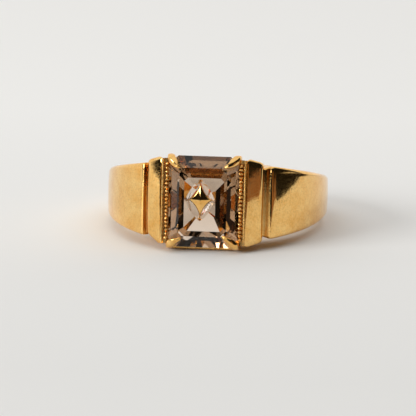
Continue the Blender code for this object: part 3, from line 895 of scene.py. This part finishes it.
def gold_material(name, finishes, polished, dull, soiled, wave_height=0.000005, waves_per_metre=900.0):
    """Yellow gold whose roughness goes from polished to dull. The waves are as high as wave_height in metres;
    at 900 to the metre they are about 1 mm across."""
    material = bpy.data.materials.get(name)
    if material:
        return material
    material = new_material(name)
    tree = material.node_tree
    place = add_node(tree, "ShaderNodeTexCoord").outputs["Object"]
    # Wear, 0.1 mm across, drives how dull the surface is and where polish has stayed in the pits.
    wear = add_node(
        tree, "ShaderNodeTexNoise", {"Scale": 7000.0, "Detail": 4.0, "Roughness": 0.65}, {"Vector": place}
    ).outputs["Fac"]
    shader = add_node(
        tree,
        "ShaderNodeBsdfPrincipled",
        {"Metallic": 1.0},
        {
            "Base Color": gold_colour(tree, place, wear, finishes, soiled),
            "Roughness": gold_dullness(tree, place, wear, polished, dull),
            "Normal": gold_relief(tree, place, wave_height, waves_per_metre),
        },
    )
    add_node(tree, "ShaderNodeOutputMaterial", None, {"Surface": shader.outputs["BSDF"]})
    return material


def clear_smoky_quartz(finishes):
    """Quartz with a light smoky tint, cut and polished: clear facets, brown where light has gone a long
    way."""
    material = new_material("clear_smoky_quartz")
    tree = material.node_tree
    shader = add_node(
        tree,
        "ShaderNodeBsdfPrincipled",
        {
            "Base Color": (1.0, 1.0, 1.0, 1.0),
            "Roughness": 0.0,
            "IOR": 1.544,
            "Transmission Weight": 1.0,
        },
    )
    smoke = add_node(
        tree, "ShaderNodeVolumeAbsorption", {"Color": (*finishes.smoke, 1.0), "Density": 260.0}
    )
    add_node(
        tree,
        "ShaderNodeOutputMaterial",
        None,
        {"Surface": shader.outputs["BSDF"], "Volume": smoke.outputs["Volume"]},
    )
    return material


def paper_with_painted_shade(finishes):
    """Smooth white paper: matt, with painted shade that leaves it darker near the camera and a little paler
    behind the ring, and with a barely visible unevenness.
    """
    material = new_material("white_paper_with_painted_shade")
    tree = material.node_tree
    place = add_node(tree, "ShaderNodeTexCoord").outputs["Object"]
    depth = add_node(tree, "ShaderNodeSeparateXYZ", None, {"Vector": place}).outputs["Y"]
    # Painted shade: the share runs from the darker near colour 5 cm in front of the middle to the paler far
    # colour 5 cm behind it.
    far = add_node(
        tree,
        "ShaderNodeMapRange",
        {"From Min": -0.05, "From Max": 0.05},
        {"Value": depth},
    ).outputs["Result"]
    tint = add_node(
        tree,
        "ShaderNodeMix",
        {"data_type": "RGBA", 6: (*finishes.paper, 1.0), 7: (*finishes.paper_far_lit, 1.0)},
        {0: far},
    ).outputs[2]
    grain = add_node(
        tree, "ShaderNodeTexNoise", {"Scale": 2500.0, "Detail": 3.0, "Roughness": 0.6}, {"Vector": place}
    ).outputs["Fac"]
    tooth = add_node(tree, "ShaderNodeBump", {"Strength": 0.3, "Distance": 0.00001}, {"Height": grain})
    shader = add_node(
        tree,
        "ShaderNodeBsdfPrincipled",
        {"Roughness": 0.9, "Specular IOR Level": 0.2},
        {"Base Color": tint, "Normal": tooth.outputs["Normal"]},
    )
    add_node(tree, "ShaderNodeOutputMaterial", None, {"Surface": shader.outputs["BSDF"]})
    return material


# Stage


def direction(azimuth, elevation):
    """A unit direction: azimuth is turned from straight in front of the stone towards the ring's right."""
    a, e = math.radians(azimuth), math.radians(elevation)
    return (math.sin(a) * math.cos(e), -math.cos(a) * math.cos(e), math.sin(e))


def smooth_share(tree, value, low, high):
    """0 where the value is under low and 1 where it is over high, with a smooth step between. Where low is
    the larger of the two, the step falls instead."""
    return add_node(
        tree,
        "ShaderNodeMapRange",
        {"interpolation_type": "SMOOTHSTEP", "From Min": low, "From Max": high},
        {"Value": value},
    ).outputs["Result"]


def towards(tree, place, azimuth, elevation):
    """How far a direction points towards an azimuth and elevation, as a cosine."""
    return add_node(
        tree,
        "ShaderNodeVectorMath",
        {"operation": "DOT_PRODUCT", 1: direction(azimuth, elevation)},
        {0: place},
    ).outputs["Value"]


def where_both(tree, first, second):
    """The share that is left where two shares meet: their product."""
    return add_node(tree, "ShaderNodeMath", {"operation": "MULTIPLY"}, {0: first, 1: second}).outputs[0]


def layered(tree, below, share, shade):
    """A colour over another, by share."""
    settings = {"data_type": "RGBA", 7: (*shade, 1.0)}
    links = {0: share}
    if isinstance(below, tuple):
        settings[6] = (*below, 1.0)
    else:
        links[6] = below
    return add_node(tree, "ShaderNodeMix", settings, links).outputs[2]


# What the gold mirrors, as linear colours.
BRIGHT_ROOM = (0.92, 0.9, 0.88)
DARK_ROOM = (0.014, 0.013, 0.011)
BROWN_WOOD = (0.26, 0.15, 0.1)
PALE_BROWN = (0.36, 0.2, 0.1)
# The dark part of the room: its middle's azimuth, its top and half the step there, in degrees. It fades out
# sideways between two cosines of the angle from its middle.
DARK_AZIMUTH, DARK_TOP, DARK_STEP = 20, 42, 6
DARK_REACH = (-0.35, -0.2)
# The pale brown thing in it: azimuth, half width, top and half the steps at its sides and top, in degrees.
THING_AZIMUTH, THING_HALF, THING_TOP = 50, 10, 9
THING_SIDE_STEP, THING_TOP_STEP = 1, 0.5


def sine_step(tree, height, top, half):
    """1 under an elevation and 0 over it, with a smooth step of the given half width, in degrees."""
    over, under = (math.sin(math.radians(v)) for v in (top + half, top - half))
    return smooth_share(tree, height, over, under)


def make_room():
    """The room as the gold sees it: pale behind and above, and dark in front and on both sides up to 42
    degrees, with one brown thing in it. Each is a smooth step of an angle."""
    world = bpy.data.worlds.new("room")
    bpy.context.scene.world = world
    world.use_nodes = True
    tree = world.node_tree
    tree.nodes.clear()
    place = add_node(tree, "ShaderNodeTexCoord").outputs["Generated"]
    height = add_node(tree, "ShaderNodeSeparateXYZ", None, {"Vector": place}).outputs["Z"]
    front = smooth_share(tree, towards(tree, place, DARK_AZIMUTH, 0), *DARK_REACH)
    dark = where_both(tree, sine_step(tree, height, DARK_TOP, DARK_STEP), front)
    near, off = (math.cos(math.radians(THING_HALF + v)) for v in (-THING_SIDE_STEP, THING_SIDE_STEP))
    thing = smooth_share(tree, towards(tree, place, THING_AZIMUTH, 0), off, near)
    thing = where_both(tree, thing, sine_step(tree, height, THING_TOP, THING_TOP_STEP))
    room = layered(tree, BRIGHT_ROOM, dark, DARK_ROOM)
    room = layered(tree, room, thing, PALE_BROWN)
    glow = add_node(tree, "ShaderNodeBackground", {"Strength": 1.0}, {"Color": room})
    add_node(tree, "ShaderNodeOutputWorld", None, {"Surface": glow.outputs["Background"]})


def make_floor(finishes):
    """A flat sheet of paper, 3 m across, under the ring."""
    mesh = bpy.data.meshes.new("paper")
    reach = 1.5
    mesh.from_pydata(
        [(-reach, -reach, 0), (reach, -reach, 0), (reach, reach, 0), (-reach, reach, 0)], [], [(0, 1, 2, 3)]
    )
    mesh.materials.append(paper_with_painted_shade(finishes))
    floor = bpy.data.objects.new("paper", mesh)
    bpy.context.scene.collection.objects.link(floor)


# The cards' corners as x and y, in metres. The cloth begins where the wood ends, to the ring's right.
WOOD_CORNERS = ((0.3, -1.4), (1.4, -1.4), (1.4, -0.1), (0.07, -0.01), (0.075, -0.072), (0.016, -0.072))
CLOTH_CORNERS = ((0.06, -0.009), (0.07, -0.01), (1.4, -0.1), (1.4, 0.08), (0.06, 0.08))
CARD_HEIGHT = 0.2 * MM


def make_card(name, corners, shade):
    """A flat card just above the paper, out of view, that only reflections see."""
    mesh = bpy.data.meshes.new(name)
    mesh.from_pydata([(x, y, CARD_HEIGHT) for x, y in corners], [], [tuple(range(len(corners)))])
    material = new_material(name)
    tree = material.node_tree
    shader = add_node(tree, "ShaderNodeEmission", {"Color": (*shade, 1.0), "Strength": 1.0})
    add_node(tree, "ShaderNodeOutputMaterial", None, {"Surface": shader.outputs["Emission"]})
    mesh.materials.append(material)
    card = bpy.data.objects.new(name, mesh)
    card.visible_camera = False
    card.visible_diffuse = False
    card.visible_shadow = False
    bpy.context.scene.collection.objects.link(card)


WINDOW_AZIMUTH, WINDOW_ELEVATION, WINDOW_DISTANCE = -54, 20, 0.9


def make_window():
    """One large soft light, low on the left."""
    light = bpy.data.lights.new("window", "AREA")
    light.shape = "RECTANGLE"
    light.size, light.size_y = 0.5, 0.4
    light.energy = 6.0
    light.color = (0.97, 0.99, 1.0)
    window = bpy.data.objects.new("window", light)
    away = Vector(direction(WINDOW_AZIMUTH, WINDOW_ELEVATION))
    window.location = WINDOW_DISTANCE * away
    window.rotation_euler = away.to_track_quat("Z", "Y").to_euler()
    bpy.context.scene.collection.objects.link(window)


# Where the camera stands, in degrees and metres, and where the middle of the girdle falls in the picture.
CAMERA_AZIMUTH = 6.3
CAMERA_ELEVATION = 13.0
CAMERA_ROLL = 0.6
CAMERA_DISTANCE = 0.3
GIRDLE_PIXEL = (203.75, 201.75)
METRES_PER_PIXEL = 0.0874 * MM
FRAME_PIXELS = 416


def make_camera(girdle_front):
    """A long lens, moved sideways so that the middle of the girdle falls where the picture has it. The lens
    isn't shifted."""
    a, e, r = (math.radians(v) for v in (CAMERA_AZIMUTH, CAMERA_ELEVATION, CAMERA_ROLL))
    forward = np.array([-math.sin(a) * math.cos(e), math.cos(a) * math.cos(e), -math.sin(e)])
    right = np.array([math.cos(a), math.sin(a), 0.0])
    up = np.cross(right, forward)
    right, up = right * math.cos(r) + up * math.sin(r), up * math.cos(r) - right * math.sin(r)
    across, down = (np.array(GIRDLE_PIXEL) - FRAME_PIXELS / 2) * METRES_PER_PIXEL
    girdle = CENTRE + girdle_front * OUT
    place = girdle - CAMERA_DISTANCE * forward - across * right + down * up
    data = bpy.data.cameras.new("camera")
    data.sensor_fit = "HORIZONTAL"
    data.sensor_width = 36.0
    data.lens = 36.0 * CAMERA_DISTANCE / (METRES_PER_PIXEL * FRAME_PIXELS)
    data.clip_start, data.clip_end = 0.01, 20.0
    camera = bpy.data.objects.new("camera", data)
    matrix = Matrix.Identity(4)
    for i in range(3):
        matrix[i][0], matrix[i][1], matrix[i][2], matrix[i][3] = right[i], up[i], -forward[i], place[i]
    camera.matrix_world = matrix
    bpy.context.scene.collection.objects.link(camera)
    bpy.context.scene.camera = camera


# Operators


class RING_OT_shank(bpy.types.Operator):
    """Makes the band, with its arms and the groove beside each bar"""

    bl_idname = "ring.shank"
    bl_label = "Band"

    def execute(self, context):
        parts = context.scene.ring_parts
        gold = polished_gold(parts.finishes)
        make_piece("band", [band_skin(parts.band)], gold, ["shank"], 28)
        return {"FINISHED"}


class RING_OT_shoulder_bars(bpy.types.Operator):
    """Makes the raised bar on each side of the stone"""

    bl_idname = "ring.shoulder_bars"
    bl_label = "Shoulder bars"

    def execute(self, context):
        parts = context.scene.ring_parts
        gold = polished_gold(parts.finishes)
        for side, name in ((-1, "left"), (1, "right")):
            skin = bar_skin(side, parts.bars, parts.band.groove_front)
            make_piece(f"bar_{name}", [skin], gold, [f"shoulder_bar_{name}"], 40)
        return {"FINISHED"}


class RING_OT_claw_setting(bpy.types.Operator):
    """Makes the open setting: gallery, side walls, end rails and four claws"""

    bl_idname = "ring.claw_setting"
    bl_label = "Claw setting"

    def execute(self, context):
        parts = context.scene.ring_parts
        gold = polished_gold(parts.finishes)
        sizes = parts.setting
        finger_radius = parts.band.finger_radius
        walls = [wall_skin(side, sizes, finger_radius) for side in (-1, 1)]
        walls = [gallery_skin(sizes, finger_radius), *walls, *end_rail_skins()]
        make_piece("basket", walls, satin_gold(parts.finishes), ["claw_setting"], 35)
        claws = [claw_skin(x, z) for x in (-1, 1) for z in (-1, 1)]
        make_piece("claws", claws, gold, ["claw_setting"], 42)
        return {"FINISHED"}


class RING_OT_beaded_rails(bpy.types.Operator):
    """Makes the row of beads on each side of the stone"""

    bl_idname = "ring.beaded_rails"
    bl_label = "Beaded rails"

    def execute(self, context):
        parts = context.scene.ring_parts
        gold = beaded_gold(parts.finishes)
        for side, name in ((-1, "left"), (1, "right")):
            skin = bead_skin(side, parts.setting)
            make_piece(f"beads_{name}", [skin], gold, [f"beaded_rail_{name}"], 50)
        return {"FINISHED"}


class RING_OT_stone(bpy.types.Operator):
    """Makes the step-cut quartz with the recess in its table"""

    bl_idname = "ring.stone"
    bl_label = "Smoky quartz"

    def execute(self, context):
        parts = context.scene.ring_parts
        quartz = clear_smoky_quartz(parts.finishes)
        make_piece("stone", [stone_skin(parts.stone)], quartz, ["smoky_quartz"], 8)
        return {"FINISHED"}


class RING_OT_star(bpy.types.Operator):
    """Makes the gold star in the stone's recess"""

    bl_idname = "ring.star"
    bl_label = "Star inlay"

    def execute(self, context):
        parts = context.scene.ring_parts
        gold = polished_gold(parts.finishes)
        make_piece("star", [star_skin(parts.stone)], gold, ["star_inlay"], 20)
        return {"FINISHED"}


class RING_OT_stage(bpy.types.Operator):
    """Sets up the paper, the cards, the window, the room and the camera"""

    bl_idname = "ring.stage"
    bl_label = "Stage"

    def execute(self, context):
        parts = context.scene.ring_parts
        make_floor(parts.finishes)
        make_card("brown_table", WOOD_CORNERS, BROWN_WOOD)
        make_card("dark_cloth", CLOTH_CORNERS, DARK_ROOM)
        make_window()
        make_room()
        make_camera(parts.stone.girdle_front)
        context.scene.view_settings.view_transform = "Standard"
        return {"FINISHED"}


PIECES = (
    RING_OT_shank,
    RING_OT_shoulder_bars,
    RING_OT_claw_setting,
    RING_OT_beaded_rails,
    RING_OT_star,
    RING_OT_stone,
    RING_OT_stage,
)


class RING_PT_parts(bpy.types.Panel):
    """Lists the ring's sizes, colours and pieces"""

    bl_label = "Ring"
    bl_idname = "RING_PT_parts"
    bl_space_type = "VIEW_3D"
    bl_region_type = "UI"
    bl_category = "Ring"

    def draw(self, context):
        parts = context.scene.ring_parts
        for group in (parts.band, parts.bars, parts.setting, parts.stone, parts.finishes):
            box = self.layout.box()
            for name in type(group).__annotations__:
                box.prop(group, name)
        for piece in PIECES:
            self.layout.operator(piece.bl_idname)


CLASSES = (BandSizes, BarSizes, SettingSizes, StoneSizes, Finishes, RingParts, *PIECES, RING_PT_parts)


def register():
    for cls in CLASSES:
        bpy.utils.register_class(cls)
    bpy.types.Scene.ring_parts = PointerProperty(type=RingParts)


def unregister():
    del bpy.types.Scene.ring_parts
    for cls in reversed(CLASSES):
        bpy.utils.unregister_class(cls)


def main():
    register()
    bpy.ops.ring.shank()
    bpy.ops.ring.shoulder_bars()
    bpy.ops.ring.claw_setting()
    bpy.ops.ring.beaded_rails()
    bpy.ops.ring.star()
    bpy.ops.ring.stone()
    bpy.ops.ring.stage()


if __name__ == "__main__":
    main()
